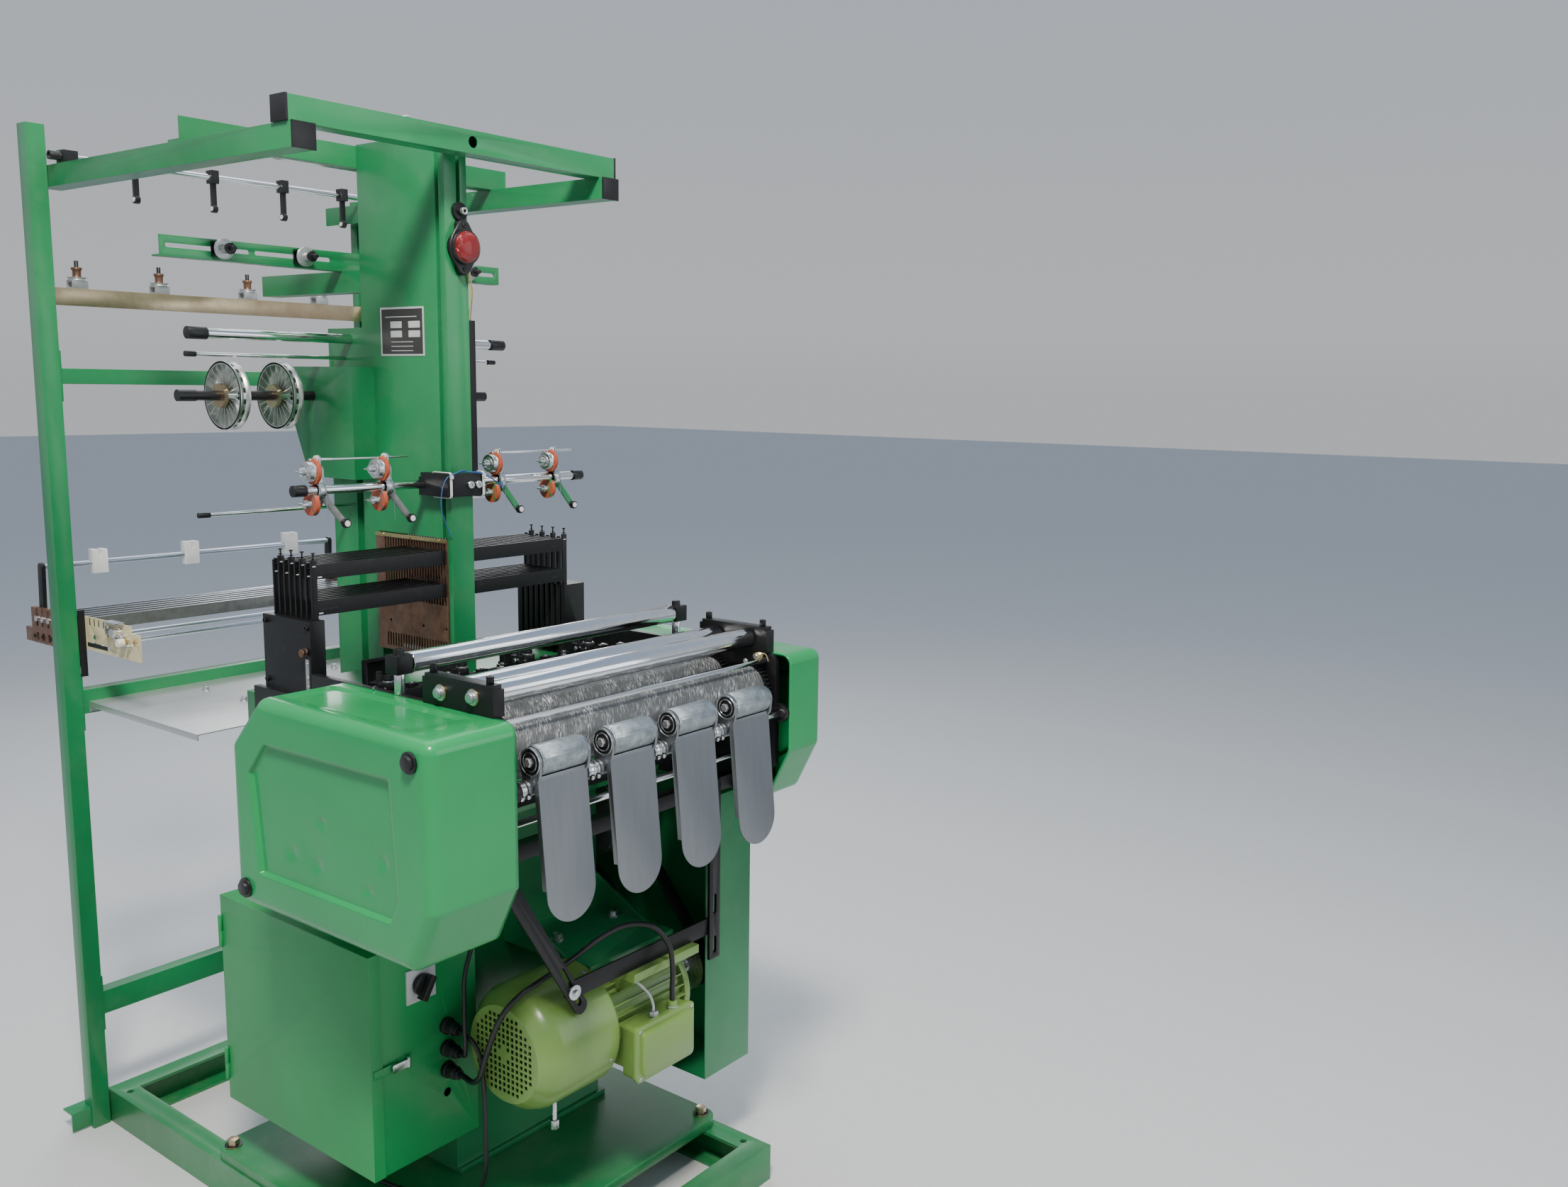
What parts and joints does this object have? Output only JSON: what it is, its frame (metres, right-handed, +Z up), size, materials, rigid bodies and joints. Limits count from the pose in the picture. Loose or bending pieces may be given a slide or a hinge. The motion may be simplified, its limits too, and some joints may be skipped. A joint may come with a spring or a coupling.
{
  "type": "power loom",
  "caption": "Narrow-fabric power loom on a floor frame: central column with heald frames, covered head with take-up rollers and chutes, motor drive, cabinet and rear stand.",
  "frame": {"origin": "floor level at the centre of the four anchor holes of the floor frame", "axes": "+X to the operator's right, +Y to the rear stand, +Z up"},
  "size_m": [0.94, 1.5047, 2.0304],
  "materials": {
    "green_paint": "gloss",
    "cover_green": "gloss",
    "motor_green": "satin",
    "black_steel": "satin",
    "black_plastic": "matte",
    "rubber_black": "matte",
    "chromed_steel": "polished",
    "zinc_steel": "satin",
    "copper_plate": "aged",
    "yellow_zinc": "satin",
    "red_lens": "gloss",
    "aluminium": "satin"
  },
  "bodies": {
    "frame": {"base_frame": "green_paint", "base_plate": "green_paint", "pedestal": "green_paint", "gear_case": "green_paint", "rear_frame": "green_paint", "top_beams": "green_paint", "end_caps": "black_plastic", "fasteners": "zinc_steel", "column": "green_paint", "guide_plates": "copper_plate", "column_fittings": "black_plastic", "lamp_lens": "red_lens", "yarn_rail": "yellow_zinc", "yarn_tensioners": "zinc_steel", "chrome_rods": "chromed_steel", "column_brackets": "green_paint", "feed_units": "zinc_steel", "head_frame": "black_steel", "take_up_bars": "chromed_steel", "cover_left": "cover_green", "cover_right": "cover_green", "cabinet_box": "green_paint", "cable_glands": "black_plastic", "motor_body": "motor_green", "fan_cover": "motor_green", "motor_hanger": "black_steel", "belt_guard": "green_paint", "drive_belt": "rubber_black", "stop_ends": "copper_plate", "stop_bars": "aluminium", "tray": "zinc_steel", "motor_cable": "rubber_black", "sensor_cable": "rubber_black", "floor_cable": "rubber_black"},
    "feed_wheels": {"feed_wheels": "aluminium"},
    "middle_roller": {"middle_roller": "chromed_steel"},
    "front_roller_1": {"front_roller_1": "chromed_steel"},
    "front_roller_2": {"front_roller_2": "chromed_steel"},
    "drum_front": {"drum_front": "zinc_steel"},
    "drum_rear": {"drum_rear": "zinc_steel"},
    "press_arm_1": {"press_arm_1": "black_steel"},
    "press_arm_2": {"press_arm_2": "black_steel"},
    "press_arm_3": {"press_arm_3": "black_steel"},
    "press_arm_4": {"press_arm_4": "black_steel"},
    "press_roller_1": {"press_roller_1": "zinc_steel"},
    "press_roller_2": {"press_roller_2": "zinc_steel"},
    "press_roller_3": {"press_roller_3": "zinc_steel"},
    "press_roller_4": {"press_roller_4": "zinc_steel"},
    "heald_frames_odd": {"heald_frames_odd": "black_steel"},
    "heald_frames_even": {"heald_frames_even": "black_steel"},
    "sley": {"sley": "black_steel"},
    "weft_needle_1": {"weft_needle_1": "black_steel"},
    "weft_needle_2": {"weft_needle_2": "black_steel"},
    "weft_needle_3": {"weft_needle_3": "black_steel"},
    "weft_needle_4": {"weft_needle_4": "black_steel"},
    "cabinet_door": {"cabinet_door": "green_paint"},
    "door_latch": {"door_latch": "zinc_steel"},
    "switch_knob": {"switch_knob": "black_plastic"},
    "motor_rotor": {"motor_rotor": "zinc_steel"},
    "main_pulley": {"main_pulley": "zinc_steel"}
  },
  "joints": [
    {"name": "feed_wheel_spin", "type": "hinge", "parent": "frame", "child": "feed_wheels", "pos_m": [0, 0.215, 1.52], "axis": [1, 0, 0], "continuous": true},
    {"name": "middle_roller_spin", "type": "hinge", "parent": "frame", "child": "middle_roller", "pos_m": [0, -0.37, 1.111], "axis": [1, 0, 0], "continuous": true},
    {"name": "front_roller_1_spin", "type": "hinge", "parent": "frame", "child": "front_roller_1", "pos_m": [0, -0.56, 1.088], "axis": [1, 0, 0], "continuous": true},
    {"name": "front_roller_2_spin", "type": "hinge", "parent": "frame", "child": "front_roller_2", "pos_m": [0, -0.485, 1.084], "axis": [1, 0, 0], "continuous": true},
    {"name": "drum_front_spin", "type": "hinge", "parent": "frame", "child": "drum_front", "pos_m": [0, -0.571, 0.995], "axis": [1, 0, 0], "continuous": true},
    {"name": "drum_rear_spin", "type": "hinge", "parent": "frame", "child": "drum_rear", "pos_m": [0, -0.47608, 0.999], "axis": [1, 0, 0], "continuous": true},
    {"name": "main_pulley_spin", "type": "hinge", "parent": "frame", "child": "main_pulley", "pos_m": [0.25, -0.15, 0.672], "axis": [1, 0, 0], "continuous": true},
    {"name": "motor_spin", "type": "hinge", "parent": "frame", "child": "motor_rotor", "pos_m": [0, -0.43, 0.415], "axis": [1, 0, 0], "continuous": true},
    {"name": "press_arm_1_lift", "type": "hinge", "parent": "frame", "child": "press_arm_1", "pos_m": [-0.2335, -0.63, 0.952], "axis": [1, 0, 0], "range_deg": [0, 25]},
    {"name": "press_roller_1_spin", "type": "hinge", "parent": "press_arm_1", "child": "press_roller_1", "pos_m": [-0.2335, -0.6403, 0.995], "axis": [1, 0, 0], "continuous": true},
    {"name": "press_arm_2_lift", "type": "hinge", "parent": "frame", "child": "press_arm_2", "pos_m": [-0.0825, -0.63, 0.952], "axis": [1, 0, 0], "range_deg": [0, 25]},
    {"name": "press_roller_2_spin", "type": "hinge", "parent": "press_arm_2", "child": "press_roller_2", "pos_m": [-0.0825, -0.6403, 0.995], "axis": [1, 0, 0], "continuous": true},
    {"name": "press_arm_3_lift", "type": "hinge", "parent": "frame", "child": "press_arm_3", "pos_m": [0.0685, -0.63, 0.952], "axis": [1, 0, 0], "range_deg": [0, 25]},
    {"name": "press_roller_3_spin", "type": "hinge", "parent": "press_arm_3", "child": "press_roller_3", "pos_m": [0.0685, -0.6403, 0.995], "axis": [1, 0, 0], "continuous": true},
    {"name": "press_arm_4_lift", "type": "hinge", "parent": "frame", "child": "press_arm_4", "pos_m": [0.2195, -0.63, 0.952], "axis": [1, 0, 0], "range_deg": [0, 25]},
    {"name": "press_roller_4_spin", "type": "hinge", "parent": "press_arm_4", "child": "press_roller_4", "pos_m": [0.2195, -0.6403, 0.995], "axis": [1, 0, 0], "continuous": true},
    {"name": "heald_odd_slide", "type": "slide", "parent": "frame", "child": "heald_frames_odd", "axis": [0, 0, 1], "range_m": [-0.012, 0.012]},
    {"name": "heald_even_slide", "type": "slide", "parent": "frame", "child": "heald_frames_even", "axis": [0, 0, 1], "range_m": [-0.012, 0.012]},
    {"name": "sley_rock", "type": "hinge", "parent": "frame", "child": "sley", "pos_m": [0, -0.184, 1.014], "axis": [1, 0, 0], "range_deg": [-8, 16]},
    {"name": "weft_needle_1_swing", "type": "hinge", "parent": "frame", "child": "weft_needle_1", "pos_m": [-0.275, -0.29, 1.052], "axis": [0, 0, -1], "range_deg": [0, 50]},
    {"name": "weft_needle_2_swing", "type": "hinge", "parent": "frame", "child": "weft_needle_2", "pos_m": [-0.124, -0.29, 1.052], "axis": [0, 0, -1], "range_deg": [0, 50]},
    {"name": "weft_needle_3_swing", "type": "hinge", "parent": "frame", "child": "weft_needle_3", "pos_m": [0.027, -0.29, 1.052], "axis": [0, 0, -1], "range_deg": [0, 50]},
    {"name": "weft_needle_4_swing", "type": "hinge", "parent": "frame", "child": "weft_needle_4", "pos_m": [0.178, -0.29, 1.052], "axis": [0, 0, -1], "range_deg": [0, 50]},
    {"name": "cabinet_door_hinge", "type": "hinge", "parent": "frame", "child": "cabinet_door", "pos_m": [-0.3423, 0.146, 0.41], "axis": [0, 0, -1], "range_deg": [0, 110]},
    {"name": "door_latch_lever", "type": "hinge", "parent": "frame", "child": "door_latch", "pos_m": [-0.268, -0.304, 0.401], "axis": [0, 0, 1], "range_deg": [0, 150]},
    {"name": "main_switch_turn", "type": "hinge", "parent": "frame", "child": "switch_knob", "pos_m": [-0.235, -0.301, 0.53], "axis": [0, -1, 0], "range_deg": [0, 90]}
  ],
  "couplings": [
    {"joint": "drum_rear_spin", "follows": "drum_front_spin", "ratio": -1},
    {"joint": "motor_spin", "follows": "main_pulley_spin", "ratio": 2},
    {"joint": "heald_even_slide", "follows": "heald_odd_slide", "ratio": -1},
    {"joint": "weft_needle_2_swing", "follows": "weft_needle_1_swing", "ratio": 1},
    {"joint": "weft_needle_3_swing", "follows": "weft_needle_1_swing", "ratio": 1},
    {"joint": "weft_needle_4_swing", "follows": "weft_needle_1_swing", "ratio": 1}
  ]
}
